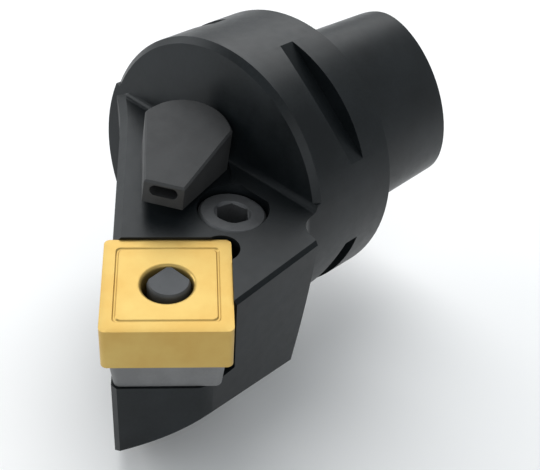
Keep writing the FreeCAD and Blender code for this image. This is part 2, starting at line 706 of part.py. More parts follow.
# Lever screw: head, threaded length, groove for the lever's toe, and collar.
screw = newBody("lever_screw", f"placement({screwPlace}; rotation(vector(0; 0; 1); 45))")
screwProfile = newSketch(screw, "screwProfile", "XZ_Plane")
headEdge = "(dims.screwHeadDiameter / 2)"
threadEdge = "(dims.screwThreadDiameter / 2)"
neckEdge = "(dims.screwNeckDiameter / 2)"
collarEdge = "(dims.screwCollarDiameter / 2)"
bevel = "dims.screwEdgeChamfer"
grooveTop = f"({grooveDrop} - dims.screwGrooveWidth / 2)"
grooveFoot = f"({grooveDrop} + dims.screwGrooveWidth / 2)"
drawOutline(screwProfile, [
    ("0", "0"),
    ("0", f"-{screwLength}"),
    (f"{collarEdge} - {bevel}", f"-{screwLength}"),
    (collarEdge, f"-{screwLength} + {bevel}"),
    (collarEdge, f"-{grooveFoot}"),
    (neckEdge, f"-{grooveFoot}"),
    (neckEdge, f"-{grooveTop}"),
    (threadEdge, f"-{grooveTop}"),
    (threadEdge, "-dims.screwHeadLength"),
    (headEdge, "-dims.screwHeadLength"),
    (headEdge, f"-{bevel}"),
    (f"{headEdge} - {bevel}", "0"),
])
turn(screw, "Revolution", screwProfile, "V_Axis")
screwSocket = newSketch(screw, "screwSocket")
drawHexagon(screwSocket, "dims.screwSocketWidth")
extrude(screw, "Pocket", screwSocket, "dims.screwSocketDepth")

# Coolant nozzle: its frame's origin is on the swivel axis at its underside, and X is its heading.
nozzleBase = f"vector(dims.nozzleX; dims.nozzleY; {seatHeight} + dims.nozzleGap)"
nozzleTurn = "rotation(vector(0; 0; 1); dims.nozzleHeading)"
nozzle = newBody("coolant_nozzle", f"placement({nozzleBase}; {nozzleTurn})")
flatTurn = "acos(dims.nozzleFlat / dims.nozzleRadius)"
flatEnd = f"(90 deg - dims.nozzleSideTaper * 1 deg + {flatTurn})"
tipHalf = "((dims.nozzleFlat - dims.nozzleReach * sin(dims.nozzleSideTaper)) / cos(dims.nozzleSideTaper))"
rearX = f"dims.nozzleRadius * cos({flatEnd})"
rearY = f"dims.nozzleRadius * sin({flatEnd})"
nozzlePlan = newSketch(nozzle, "nozzlePlan")
drawOutline(nozzlePlan, [
    ("dims.nozzleReach", f"-{tipHalf}"),
    ("dims.nozzleReach", tipHalf),
    (rearX, rearY),
    ("-dims.nozzleRadius", "0", "dims.nozzleRadius"),
    (rearX, f"-{rearY}", "dims.nozzleRadius"),
])
slope = "tan(dims.nozzleTopSlope)"
backHeight = f"(dims.nozzleFrontHeight + (dims.nozzleReach + dims.nozzleRadius) * {slope})"
extrude(nozzle, "Pad", nozzlePlan, backHeight)
nozzleTop = newSketch(nozzle, "nozzleTop", "XZ_Plane")
pastBack = "(2 * dims.nozzleRadius)"
pastTip = "(2 * dims.nozzleReach)"
drawOutline(nozzleTop, [
    (f"-{pastBack}", f"dims.nozzleFrontHeight + (dims.nozzleReach + {pastBack}) * {slope}"),
    (pastTip, f"dims.nozzleFrontHeight + (dims.nozzleReach - {pastTip}) * {slope}"),
    (pastTip, f"2 * {backHeight}"),
    (f"-{pastBack}", f"2 * {backHeight}"),
])
extrude(nozzle, "Pocket", nozzleTop, "4 * dims.nozzleRadius", midplane=True)


def isNozzleTopEdge(edge):
    heights = [vertex.Point.z - size("dims.nozzleFrontHeight") for vertex in edge.Vertexes]
    runs = [(size("dims.nozzleReach") - vertex.Point.x) * size(slope) for vertex in edge.Vertexes]
    return all(near(height, run) for height, run in zip(heights, runs))


dressEdges(nozzle, "Chamfer", isNozzleTopEdge, "Size", "dims.nozzleEdgeChamfer")
stem = newSketch(nozzle, "stem")
drawCircle(stem, "dims.stemDiameter / 2")
extrude(nozzle, "Pad", stem, "dims.stemLength", reverse=True)
stemRadius = "(dims.stemDiameter / 2)"
ringFoot = "(dims.ringEndDistance - dims.stemLength)"
ringDepth = "(dims.ringSection - dims.stemGap)"
lockMid = f"(-{seatHeight} - dims.nozzleGap)"
grooves = newSketch(nozzle, "stemGrooves", "XZ_Plane")
drawOutline(grooves, [
    (f"{stemRadius} - {ringDepth}", ringFoot),
    (f"2 * {stemRadius}", ringFoot),
    (f"2 * {stemRadius}", f"{ringFoot} + dims.ringGrooveWidth"),
    (f"{stemRadius} - {ringDepth}", f"{ringFoot} + dims.ringGrooveWidth"),
])
drawOutline(grooves, [
    (f"{stemRadius} - dims.stemGrooveDepth", f"{lockMid} - dims.stemGrooveWidth / 2"),
    (f"2 * {stemRadius}", f"{lockMid} - dims.stemGrooveWidth / 2"),
    (f"2 * {stemRadius}", f"{lockMid} + dims.stemGrooveWidth / 2"),
    (f"{stemRadius} - dims.stemGrooveDepth", f"{lockMid} + dims.stemGrooveWidth / 2"),
])
turn(nozzle, "Groove", grooves, "V_Axis")
passage = newSketch(nozzle, "passage", frame=unturned("vector(0; 0; -dims.stemLength)"))
drawCircle(passage, "dims.stemBoreDiameter / 2")
extrude(nozzle, "Pocket", passage, "dims.stemLength + dims.outletRise", reverse=True)
outletEnd = "(dims.outletHeight / 2)"
outletFlat = f"(dims.outletWidth / 2 - {outletEnd})"
outlet = newSketch(nozzle, "outlet", "YZ_Plane", unturned("vector(0; 0; dims.nozzleReach)"))
drawOutline(outlet, [
    (outletFlat, f"dims.outletRise - {outletEnd}"),
    (f"{outletFlat} + {outletEnd}", "dims.outletRise", outletEnd),
    (outletFlat, f"dims.outletRise + {outletEnd}", outletEnd),
    (f"-{outletFlat}", f"dims.outletRise + {outletEnd}"),
    (f"-{outletFlat} - {outletEnd}", "dims.outletRise", outletEnd),
    (f"-{outletFlat}", f"dims.outletRise - {outletEnd}", outletEnd),
])
extrude(nozzle, "Pocket", outlet, "dims.nozzleReach")

# O-ring in the stem's lower groove.
ring = doc.addObject("Part::Torus", "nozzle_o_ring")
ring.Label = "nozzle_o_ring"
ring.setExpression("Radius2", "dims.ringSection / 2 - dims.stemGap / 4")
ring.setExpression("Radius1", f"{stemRadius} + dims.stemGap - dims.ringSection / 2")
ringHeight = f"{seatHeight} + dims.nozzleGap + {ringFoot} + dims.ringGrooveWidth / 2"
ring.setExpression("Placement", unturned(f"vector(dims.nozzleX; dims.nozzleY; {ringHeight})"))

# Set screw: its frame's origin is the socket end, and Z points out of the left face.
setScrew = newBody("nozzle_set_screw", setScrewPlace)
setProfile = newSketch(setScrew, "setProfile", "XZ_Plane")
setRadius = "(dims.setScrewDiameter / 2)"
setLength = f"({nozzleToLeftFace} - dims.setScrewSink - {setScrewTip})"
pointRadius = "(dims.setScrewPointDiameter / 2)"
drawOutline(setProfile, [
    ("0", "0"),
    ("0", f"-{setLength}"),
    (pointRadius, f"-{setLength}"),
    (pointRadius, f"-{setLength} + dims.setScrewPointLength"),
    (setRadius, f"-{setLength} + dims.setScrewPointLength + dims.screwEdgeChamfer"),
    (setRadius, "-dims.screwEdgeChamfer"),
    (f"{setRadius} - dims.screwEdgeChamfer", "0"),
])
turn(setScrew, "Revolution", setProfile, "V_Axis")
setSocket = newSketch(setScrew, "setSocket")
drawHexagon(setSocket, "dims.setScrewSocketWidth", 30)
extrude(setScrew, "Pocket", setSocket, "dims.setScrewSocketDepth")

doc.recompute()
for item in doc.Objects:
    if "Invalid" in item.State or "Error" in item.State:
        raise RuntimeError(f"{item.Name} failed: {item.State}")

subparts = [toolBody, insert, shim, shimPin, lever, screw, nozzle, ring, setScrew]
os.makedirs("parts", exist_ok=True)
for part in subparts:
    if part.Shape.isNull() or not part.Shape.isValid() or len(part.Shape.Solids) != 1:
        raise RuntimeError(f"{part.Label} isn't one valid solid")
for part in subparts:
    part.Shape.exportStep(f"parts/{part.Label}.step")
    print(f"{part.Label}: {part.Shape.Volume:.1f} mm3")
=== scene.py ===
import json
import math

import bmesh
import bpy
from mathutils import Matrix, Vector

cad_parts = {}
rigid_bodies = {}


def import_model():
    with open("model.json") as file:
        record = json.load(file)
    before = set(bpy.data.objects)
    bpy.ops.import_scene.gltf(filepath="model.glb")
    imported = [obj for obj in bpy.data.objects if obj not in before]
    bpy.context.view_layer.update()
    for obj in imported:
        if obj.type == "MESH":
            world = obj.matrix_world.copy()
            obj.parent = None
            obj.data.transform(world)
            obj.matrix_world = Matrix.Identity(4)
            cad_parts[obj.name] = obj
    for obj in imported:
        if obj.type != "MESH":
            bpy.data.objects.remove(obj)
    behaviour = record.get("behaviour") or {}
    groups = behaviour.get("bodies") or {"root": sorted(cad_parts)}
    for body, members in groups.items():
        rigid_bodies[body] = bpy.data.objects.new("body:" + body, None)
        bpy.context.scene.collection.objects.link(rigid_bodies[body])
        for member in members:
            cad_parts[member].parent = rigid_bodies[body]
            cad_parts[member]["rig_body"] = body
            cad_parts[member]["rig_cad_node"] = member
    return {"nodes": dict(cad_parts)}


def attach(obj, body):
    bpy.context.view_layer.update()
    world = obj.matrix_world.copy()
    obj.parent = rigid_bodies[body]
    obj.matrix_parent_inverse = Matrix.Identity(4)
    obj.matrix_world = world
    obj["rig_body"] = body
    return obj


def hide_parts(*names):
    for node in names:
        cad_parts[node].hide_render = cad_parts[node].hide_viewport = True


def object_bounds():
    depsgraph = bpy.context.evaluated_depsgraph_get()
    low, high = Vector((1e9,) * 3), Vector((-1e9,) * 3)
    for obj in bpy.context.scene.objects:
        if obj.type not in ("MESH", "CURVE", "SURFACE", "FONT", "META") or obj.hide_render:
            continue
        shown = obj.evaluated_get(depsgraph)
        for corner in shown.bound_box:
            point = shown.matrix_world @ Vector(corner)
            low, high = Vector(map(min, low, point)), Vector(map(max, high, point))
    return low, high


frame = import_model()
cadLow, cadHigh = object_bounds()
mm = 0.001  # the part's sizes are in millimetres; floor, lamps and camera are in metres

# axes: +X towards the cutting end, +Z up, origin on the flange's contact face

tolerances = {
    "merge": 0.0005,  # points closer than this become one
    "level": 0.0001,  # how far a rim's point may stand off its height
    "flatAngle": 0.3,  # degrees between faces that count as one flat face
}


def choose(piece):
    bpy.ops.object.select_all(action="DESELECT")
    piece.select_set(True)
    bpy.context.view_layer.objects.active = piece


def openMesh(piece):
    choose(piece)
    bpy.ops.object.mode_set(mode="EDIT")


def closeMesh():
    bpy.ops.object.mode_set(mode="OBJECT")


def pick(kind, test):
    # selects only those faces, edges or verts that pass the test
    mesh = bmesh.from_edit_mesh(bpy.context.object.data)
    bpy.ops.mesh.select_all(action="DESELECT")
    modes = [kind == word for word in ("verts", "edges", "faces")]
    bpy.context.tool_settings.mesh_select_mode = modes
    for item in getattr(mesh, kind):
        if test(item):
            item.select_set(True)
    mesh.select_flush_mode()
    bmesh.update_edit_mesh(bpy.context.object.data)


def cleanMesh():
    bpy.ops.mesh.select_all(action="SELECT")
    bpy.ops.mesh.remove_doubles(threshold=tolerances["merge"] * mm)
    bpy.ops.mesh.normals_make_consistent(inside=False)


def applyModifiers(piece):
    choose(piece)
    for name in [modifier.name for modifier in piece.modifiers]:
        bpy.ops.object.modifier_apply(modifier=name)


def placePiece(piece, matrix):
    # moves a piece to its place and puts that place in its mesh
    choose(piece)
    piece.matrix_world = matrix
    bpy.ops.object.transform_apply(location=True, rotation=True, scale=True)


def smoothPiece(piece, degrees=35):
    # weighted normals keep the large flat faces free of shading streaks
    choose(piece)
    bpy.ops.object.shade_smooth_by_angle(angle=math.radians(degrees))
    flats = piece.modifiers.new("flats", "WEIGHTED_NORMAL")
    flats.weight = 100
    flats.keep_sharp = True
    applyModifiers(piece)


def softEdges(piece, width, segments=2, corner=28):
    # the rounded edges take the piece's second material; where that is a lighter look, it is a
    # painted edge highlight
    bevel = piece.modifiers.new("softEdges", "BEVEL")
    bevel.width = width * mm
    bevel.segments = segments
    bevel.limit_method = "ANGLE"
    bevel.angle_limit = math.radians(corner)
    bevel.material = 1
    bevel.use_clamp_overlap = True
    bevel.miter_outer = "MITER_ARC"
    applyModifiers(piece)


def drawUp(piece, profile):
    # extrudes and scales the piece's ring of points along the profile of (radius, height) pairs
    radius, height = profile[0]
    openMesh(piece)
    bpy.ops.mesh.select_all(action="SELECT")
    for nextRadius, nextHeight in profile[1:]:
        bpy.ops.mesh.extrude_region_move(
            TRANSFORM_OT_translate={"value": (0, 0, (nextHeight - height) * mm)})
        scale = nextRadius / radius
        bpy.ops.transform.resize(value=(scale, scale, 1), center_override=(0, 0, 0))
        radius, height = nextRadius, nextHeight
    closeMesh()


def turned(name, profile, sides):
    # an open tube round Z through the (radius, height) pairs
    radius, height = profile[0]
    bpy.ops.object.select_all(action="DESELECT")
    bpy.ops.mesh.primitive_circle_add(
        vertices=sides, radius=radius * mm, location=(0, 0, height * mm))
    piece = bpy.context.object
    piece.name = name
    placePiece(piece, piece.matrix_world.copy())
    drawUp(piece, profile)
    return piece


def capEnds(piece, heights):
    # closes the open rims that lie at these heights
    def atHeight(edge):
        offset = abs(edge.verts[0].co.z - height * mm)
        return edge.is_boundary and offset < tolerances["level"] * mm

    openMesh(piece)
    for height in heights:
        pick("edges", atHeight)
        bpy.ops.mesh.edge_face_add()
    cleanMesh()
    closeMesh()


def cutWith(piece, cutter):
    cut = piece.modifiers.new("cut", "BOOLEAN")
    cut.object = cutter
    cut.operation = "DIFFERENCE"
    cut.solver = "EXACT"
    applyModifiers(piece)
    bpy.data.objects.remove(cutter)


def softenedCopy(nodeName, name, width, reshape=None):
    # a CAD node's own form with whole flat faces and small rounded edges
    source = frame["nodes"][nodeName]
    piece = source.copy()
    piece.data = source.data.copy()
    piece.parent = None
    piece.name = name
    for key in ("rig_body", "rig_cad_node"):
        del piece[key]
    bpy.context.scene.collection.objects.link(piece)
    openMesh(piece)
    cleanMesh()
    bpy.ops.mesh.dissolve_limited(angle_limit=math.radians(tolerances["flatAngle"]))
    closeMesh()
    if reshape:
        reshape(piece)
    softEdges(piece, width)
    return piece


def finishPiece(piece, body, materials, nodes=()):
    piece.data.materials.clear()
    for material in materials:
        piece.data.materials.append(material)
    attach(piece, body)
    if nodes:
        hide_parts(*nodes)


class Wire:
    # one value in a material; arithmetic on it adds Math nodes
    def __init__(self, finish, socket):
        self.finish = finish
        self.socket = socket

    def maths(self, operation, first, second):
        return self.finish.add("ShaderNodeMath", {"operation": operation}, {0: first, 1: second})

    def __add__(self, other):
        return self.maths("ADD", self, other)

    __radd__ = __add__

    def __mul__(self, other):
        return self.maths("MULTIPLY", self, other)

    __rmul__ = __mul__

    def __sub__(self, other):
        return self.maths("SUBTRACT", self, other)

    def __rsub__(self, other):
        return self.maths("SUBTRACT", other, self)


class Finish:
    # one material with a Principled shader; constants go on the shader's own sockets
    def __init__(self, name, **fixed):
        self.material = bpy.data.materials.new(name)
        self.material.use_nodes = True
        self.tree = self.material.node_tree
        self.surface = self.tree.nodes["Principled BSDF"]
        for socket, value in fixed.items():
            self.surface.inputs[socket.replace("_", " ")].default_value = value
        self.place = self.add("ShaderNodeTexCoord", {}, {}, "Object")

    def add(self, kind, settings, sockets, output=0):
        node = self.tree.nodes.new(kind)
        for key, value in settings.items():
            setattr(node, key, value)
        for key, value in sockets.items():
            if isinstance(value, Wire):
                self.tree.links.new(value.socket, node.inputs[key])
            else:
                node.inputs[key].default_value = value
        return Wire(self, node.outputs[output])

    def feed(self, socket, wire):
        self.tree.links.new(wire.socket, self.surface.inputs[socket])

    def noise(self, scale, detail=3):
        sockets = {
            "Vector": self.place, "Scale": scale, "Detail": detail, "Roughness": noiseRoughness}
        return self.add("ShaderNodeTexNoise", {}, sockets)

    def blendColours(self, factor, first, second):
        sockets = {0: factor, 6: (*first, 1), 7: (*second, 1)}
        return self.add("ShaderNodeMix", {"data_type": "RGBA"}, sockets, 2)

    def bump(self, height, strength, depth):
        sockets = {"Height": height, "Strength": strength, "Distance": depth * mm}
        self.feed("Normal", self.add("ShaderNodeBump", {}, sockets))


def limit(wire, low, high):
    # stretches the range from low to high to 0 to 1 and holds what lies outside
    settings = {"clamp": True}
    sockets = {"Value": wire, "From Min": low, "From Max": high}
    return wire.finish.add("ShaderNodeMapRange", settings, sockets)


noiseMean = 0.5
noiseRoughness = 0.55
noiseScales = {
    "toolMarks": 3600,
    "steelGrain": 2600,
    "steelPatches": 700,
    "goldCloud": 160,
    "goldGrain": 3200,
    "rubberGrain": 1500,
    "floorCloud": 3,
}


def toolMarks(finish):
    # fine lines left by the cutter: rings round the tool axis on turned faces, streaks elsewhere
    x = finish.add("ShaderNodeSeparateXYZ", {}, {"Vector": finish.place}, "X")
    y, z = (Wire(finish, x.socket.node.outputs[axis]) for axis in "YZ")
    radius = finish.add("ShaderNodeMath", {"operation": "SQRT"}, {0: y * y + z * z})
    spot = finish.add("ShaderNodeCombineXYZ", {}, {"X": x, "Y": radius})
    sockets = {"Vector": spot, "Scale": noiseScales["toolMarks"], "Detail": 1}
    return finish.add("ShaderNodeTexNoise", {"noise_dimensions": "2D"}, sockets)


steelMix = {
    "grainInShade": 0.35,
    "shadeRange": (0.34, 0.66),
    "cloudInGloss": 0.12,
    "patchesInGloss": 0.14,
    "grainInGloss": 0.1,
    "bumpStrength": 0.3,
}


def steelFinish(name, look):
    finish = Finish(name, Metallic=look["metallic"], Specular_IOR_Level=look["shine"])
    mix = steelMix
    cloud = finish.noise(look["cloudScale"], 4)
    fine = finish.noise(noiseScales["steelGrain"], 2)
    marks = toolMarks(finish)
    patches = finish.noise(noiseScales["steelPatches"], 3)
    grain = fine - noiseMean
    shade = limit(cloud + grain * mix["grainInShade"], *mix["shadeRange"])
    finish.feed("Base Color", finish.blendColours(shade, look["dark"], look["light"]))
    uneven = (cloud - noiseMean) * mix["cloudInGloss"] + grain * mix["grainInGloss"]
    uneven += (patches - noiseMean) * mix["patchesInGloss"]
    finish.feed("Roughness", uneven + look["roughness"])
    finish.bump(fine + marks * look["marks"], mix["bumpStrength"], look["grain"])
    return finish.material


looks = {
    "blackOxideSteel": {
        "dark": (0.0038, 0.0056, 0.0068), "light": (0.0098, 0.0128, 0.0148), "shine": 0.34,
        "roughness": 0.4, "metallic": 0.35, "cloudScale": 110, "grain": 0.0025, "marks": 1.0},
    # the Edge looks are lighter colours for the rounded edges: painted edge highlights, on the
    # tool body partly real edge wear too
    "wornEdgeSteel": {
        "dark": (0.020, 0.023, 0.025), "light": (0.15, 0.158, 0.165), "shine": 0.45,
        "roughness": 0.36, "metallic": 0.8, "cloudScale": 300, "grain": 0.002, "marks": 0.3},
    "nozzleSteel": {
        "dark": (0.038, 0.039, 0.040), "light": (0.052, 0.0535, 0.055), "shine": 0.35,
        "roughness": 0.6, "metallic": 0.4, "cloudScale": 160, "grain": 0.005, "marks": 0.0},
    "nozzleEdgeSteel": {
        "dark": (0.045, 0.046, 0.047), "light": (0.085, 0.087, 0.089), "shine": 0.4,
        "roughness": 0.5, "metallic": 0.6, "cloudScale": 300, "grain": 0.0010, "marks": 0.0},
    "screwSteel": {
        "dark": (0.092, 0.095, 0.099), "light": (0.125, 0.129, 0.134), "shine": 0.5,
        "roughness": 0.5, "metallic": 0.6, "cloudScale": 200, "grain": 0.0008, "marks": 0.2},
    "screwEdgeSteel": {
        "dark": (0.085, 0.087, 0.09), "light": (0.15, 0.154, 0.158), "shine": 0.5,
        "roughness": 0.42, "metallic": 0.8, "cloudScale": 300, "grain": 0.0008, "marks": 0.0},
    "leverSteel": {
        "dark": (0.056, 0.059, 0.063), "light": (0.078, 0.082, 0.087), "shine": 0.4,
        "roughness": 0.6, "metallic": 0.4, "cloudScale": 220, "grain": 0.0012, "marks": 0.0},
    "springSteel": {
        "dark": (0.18, 0.184, 0.188), "light": (0.26, 0.264, 0.27), "shine": 0.5,
        "roughness": 0.4, "metallic": 0.9, "cloudScale": 250, "grain": 0.0006, "marks": 0.0},
    "groundCarbide": {
        "dark": (0.145, 0.147, 0.15), "light": (0.185, 0.188, 0.19), "shine": 0.5,
        "roughness": 0.55, "metallic": 0.5, "cloudScale": 180, "grain": 0.0010, "marks": 0.0},
}
steels = {name: steelFinish(name, look) for name, look in looks.items()}

goldLook = {
    "dark": (0.48, 0.31, 0.082),
    "light": (0.54, 0.385, 0.12),
    "shadeRange": (0.32, 0.68),
    "metallic": 0.7,
    "roughness": 0.45,
    "unevenness": 0.1,
    "bumpStrength": 0.2,
    "grain": 0.0008,
}
rubberLook = {
    "dark": (0.012, 0.012, 0.012),
    "light": (0.03, 0.03, 0.03),
    "roughness": 0.5,
    "unevenness": 0.2,
    "bumpStrength": 0.3,
    "grain": 0.002,
}


def goldFinish(look):
    finish = Finish("goldCoating", Metallic=look["metallic"])
    cloud = finish.noise(noiseScales["goldCloud"], 3)
    fine = finish.noise(noiseScales["goldGrain"], 2)
    shade = limit(cloud, *look["shadeRange"])
    finish.feed("Base Color", finish.blendColours(shade, look["dark"], look["light"]))
    uneven = (fine - noiseMean + cloud - noiseMean) * look["unevenness"]
    finish.feed("Roughness", uneven + look["roughness"])
    finish.bump(fine, look["bumpStrength"], look["grain"])
    return finish.material


def sealFinish(look):
    finish = Finish("sealRubber")
    fine = finish.noise(noiseScales["rubberGrain"], 3)
    finish.feed("Base Color", finish.blendColours(fine, look["dark"], look["light"]))
    finish.feed("Roughness", fine * look["unevenness"] + look["roughness"])
    finish.bump(fine, look["bumpStrength"], look["grain"])
    return finish.material


goldCoating = goldFinish(goldLook)
sealRubber = sealFinish(rubberLook)
print("materials made")

insertSizes = {
    "place": (38.897, 14.8, 1.651),
    "seatTilt": 8.46,
    "turn": 45,
    "halfSide": 7.935,
    "thickness": 6.35,
    "cornerRadius": 0.8,
    "stripWidth": 0.6,
    "stripDrop": 0.09,
    "grooveStart": 1.5,
    "grooveWidth": 0.45,
    "grooveDepth": 0.15,
    "edgeRound": 0.07,
    "edgeSteps": 3,
    "edgeAngle": 60,
    "smoothAngle": 24,
    "cornerSteps": 8,
    "holeRadius": 3.175,
    "holeSides": 72,
    "rimRadius": 0.5,
    "rimSteps": 4,
    "cutterOverrun": 1,
}
seatPlace = (Matrix.Translation(Vector(insertSizes["place"]) * mm)
             @ Matrix.Rotation(math.radians(insertSizes["seatTilt"]), 4, "Y"))


def insertFace(s):
    # half-sides and depths of one cutting face, from the plateau out to the cutting edge
    outside = s["halfSide"] - s["grooveStart"]
    inside = outside - s["grooveWidth"]
    slant = s["grooveWidth"] / 3
    return [
        (inside, 0),
        (inside + slant, s["grooveDepth"]),
        (outside - slant, s["grooveDepth"]),
        (outside, 0),
        (s["halfSide"] - s["stripWidth"], 0),
        (s["halfSide"], s["stripDrop"]),
    ]


def makeHoleCutter(s):
    # the insert's round hole with a rounded rim at both faces
    rim = s["rimRadius"]
    steps = [math.radians(90 * step / s["rimSteps"]) for step in range(s["rimSteps"] + 1)]
    upper = [(s["holeRadius"] + rim * (1 - math.cos(a)), -rim + rim * math.sin(a))
             for a in steps]
    lower = [(radius, -s["thickness"] - height) for radius, height in reversed(upper)]
    wide = s["holeRadius"] + 2 * rim
    foot = -s["thickness"] - s["cutterOverrun"]
    cutter = turned("holeCutter", [
        (wide, foot), *lower, *upper, (wide, s["cutterOverrun"])], s["holeSides"])
    capEnds(cutter, (foot, s["cutterOverrun"]))
    return cutter


def makeInsert(s):
    # rounded square rings, drawn from the upper plateau round to the lower one
    face = insertFace(s)
    profile = [(half, -depth) for half, depth in face]
    profile += [(half, depth - s["thickness"]) for half, depth in reversed(face)]
    bpy.ops.object.select_all(action="DESELECT")
    bpy.ops.mesh.primitive_plane_add(size=2 * profile[0][0] * mm)
    piece = bpy.context.object
    piece.name = "squareInsert"
    openMesh(piece)
    bpy.ops.mesh.select_all(action="SELECT")
    corner = s["cornerRadius"] * profile[0][0] / s["halfSide"]
    bpy.ops.mesh.bevel(offset=corner * mm, segments=s["cornerSteps"], affect="VERTICES")
    bpy.ops.mesh.select_all(action="SELECT")
    bpy.ops.mesh.delete(type="ONLY_FACE")
    closeMesh()
    drawUp(piece, profile)
    capEnds(piece, (0, -s["thickness"]))
    cutWith(piece, makeHoleCutter(s))
    softEdges(piece, s["edgeRound"], s["edgeSteps"], s["edgeAngle"])
    placePiece(piece, seatPlace @ Matrix.Rotation(math.radians(s["turn"]), 4, "Z"))
    smoothPiece(piece, s["smoothAngle"])
    return piece


squareInsert = makeInsert(insertSizes)
goldLooks = [goldCoating, goldCoating]
finishPiece(squareInsert, "insert", goldLooks, ["cutting_insert"])
print("insert made")

threadShape = {
    "halfWidth": 0.44,  # of the ridge's foot, as a share of the pitch
    "stepsPerTurn": 28,
    "bite": 0.02,  # how far the ridge stands in the core
}
socketMouth = {  # a short cone, cut into the socket's upper edge
    "inset": 0.1,
    "spread": 0.3,
    "rise": 0.4,
    "sides": 48,
}
leverScrewSizes = {
    "place": (23.6, 11.1, 3.627),
    "turn": 45,
    "sides": 64,
    "edgeRound": 0.08,
    "headRadius": 4.5,
    "headLength": 2.6,
    "headChamfer": 0.35,
    "threadRadius": 4.0,
    "threadDepth": 0.58,
    "pitch": 1.0,
    "grooveTop": 14.19,
    "grooveFoot": 18.19,
    "neckRadius": 2.4,
    "collarRadius": 3.8,
    "length": 19.79,
    "socketWidth": 4.0,
    "socketDepth": 3.2,
    "mouthChamfer": 0.25,
}
setScrewSizes = {
    "place": (28.801, -4.051, 0),
    "aim": -45,
    "sides": 40,
    "edgeRound": 0.05,
    "threadLead": 0.25,
    "pointSlope": 0.3,
    "threadRadius": 2.0,
    "threadDepth": 0.4,
    "pitch": 0.7,
    "length": 4.855,
    "pointRadius": 1.1,
    "pointLength": 1.2,
    "endChamfer": 0.35,
    "socketWidth": 2.0,
    "socketDepth": 1.8,
    "mouthChamfer": 0.15,
}


def windRidge(radius, depth, pitch, top, foot):
    # a closed three-sided ridge, wound down Z from top to foot
    bpy.ops.object.select_all(action="DESELECT")
    bpy.ops.mesh.primitive_circle_add(vertices=3, radius=1, fill_type="NOTHING")
    ridge = bpy.context.object
    openMesh(ridge)
    half = pitch * threadShape["halfWidth"]
    corners = [(radius, 0), (radius - depth, half), (radius - depth, -half)]
    for vert, (out, up) in zip(bmesh.from_edit_mesh(ridge.data).verts, corners):
        vert.co = Vector((out, 0, up)) * mm
    bmesh.update_edit_mesh(ridge.data)
    closeMesh()
    turns = (top - foot) / pitch - 1
    winding = ridge.modifiers.new("winding", "SCREW")
    winding.angle = math.tau * turns
    winding.screw_offset = -pitch * turns * mm
    winding.steps = winding.render_steps = round(threadShape["stepsPerTurn"] * turns)
    winding.use_normal_calculate = True
    applyModifiers(ridge)
    placePiece(ridge, Matrix.Translation((0, 0, (top - pitch / 2) * mm)))
    openMesh(ridge)
    pick("edges", lambda edge: edge.is_boundary)
    bpy.ops.mesh.edge_face_add()
    cleanMesh()
    closeMesh()
    return ridge


def addThread(piece, s, top, foot):
    ridge = windRidge(s["threadRadius"], s["threadDepth"], s["pitch"], top, foot)
    choose(piece)
    ridge.select_set(True)
    bpy.ops.object.join()


def cutSocket(piece, s):
    # a hexagon hole in the top face, with a round chamfered mouth
    corner = s["socketWidth"] / math.sqrt(3)
    bpy.ops.object.select_all(action="DESELECT")
    bpy.ops.mesh.primitive_cylinder_add(
        vertices=6, radius=corner * mm, depth=2 * s["socketDepth"] * mm)
    hexagon = bpy.context.object
    placePiece(hexagon, Matrix.Rotation(math.radians(30), 4, "Z"))
    cutWith(piece, hexagon)
    foot = -s["mouthChamfer"]
    top = foot + socketMouth["rise"]
    profile = [(corner - socketMouth["inset"], foot), (corner + socketMouth["spread"], top)]
    mouth = turned("socketMouth", profile, socketMouth["sides"])
    capEnds(mouth, (foot, top))
    cutWith(piece, mouth)


def makeLeverScrew(s):
    core = s["threadRadius"] - s["threadDepth"] + threadShape["bite"]
    chamfer = s["headChamfer"]
    piece = turned("leverScrew", [
        (s["headRadius"] - chamfer, 0),
        (s["headRadius"], -chamfer),
        (s["headRadius"], -s["headLength"]),
        (core, -s["headLength"]),
        (core, -s["grooveTop"]),
        (s["neckRadius"], -s["grooveTop"]),
        (s["neckRadius"], -s["grooveFoot"]),
        (s["collarRadius"], -s["grooveFoot"]),
        (s["collarRadius"], chamfer - s["length"]),
        (s["collarRadius"] - chamfer, -s["length"]),
    ], s["sides"])
    capEnds(piece, (0, -s["length"]))
    cutSocket(piece, s)
    softEdges(piece, s["edgeRound"])
    addThread(piece, s, -s["headLength"], -s["grooveTop"])
    spot = Matrix.Translation(Vector(s["place"]) * mm)
    placePiece(piece, spot @ Matrix.Rotation(math.radians(s["turn"]), 4, "Z"))
    smoothPiece(piece)
    return piece


def makeSetScrew(s):
    core = s["threadRadius"] - s["threadDepth"] + threadShape["bite"]
    foot = s["pointLength"] - s["length"]
    piece = turned("nozzleLockScrew", [
        (s["threadRadius"] - s["endChamfer"], 0),
        (s["threadRadius"], -s["endChamfer"]),
        (core, -s["endChamfer"] - s["threadLead"]),
        (core, foot),
        (s["pointRadius"], foot - s["pointSlope"]),
        (s["pointRadius"], -s["length"]),
    ], s["sides"])
    capEnds(piece, (0, -s["length"]))
    cutSocket(piece, s)
    softEdges(piece, s["edgeRound"])
    addThread(piece, s, -s["endChamfer"], foot)
    spot = Matrix.Translation(Vector(s["place"]) * mm)
    aim = Matrix.Rotation(math.radians(s["aim"]), 4, "Z")
    placePiece(piece, spot @ aim @ Matrix.Rotation(math.radians(90), 4, "Y"))
    smoothPiece(piece)
    return piece


screwLooks = [steels["screwSteel"], steels["screwEdgeSteel"]]
leverScrew = makeLeverScrew(leverScrewSizes)
finishPiece(leverScrew, "screw", screwLooks, ["lever_screw"])
nozzleLockScrew = makeSetScrew(setScrewSizes)
finishPiece(nozzleLockScrew, "head", screwLooks, ["nozzle_set_screw"])
print("screws made")

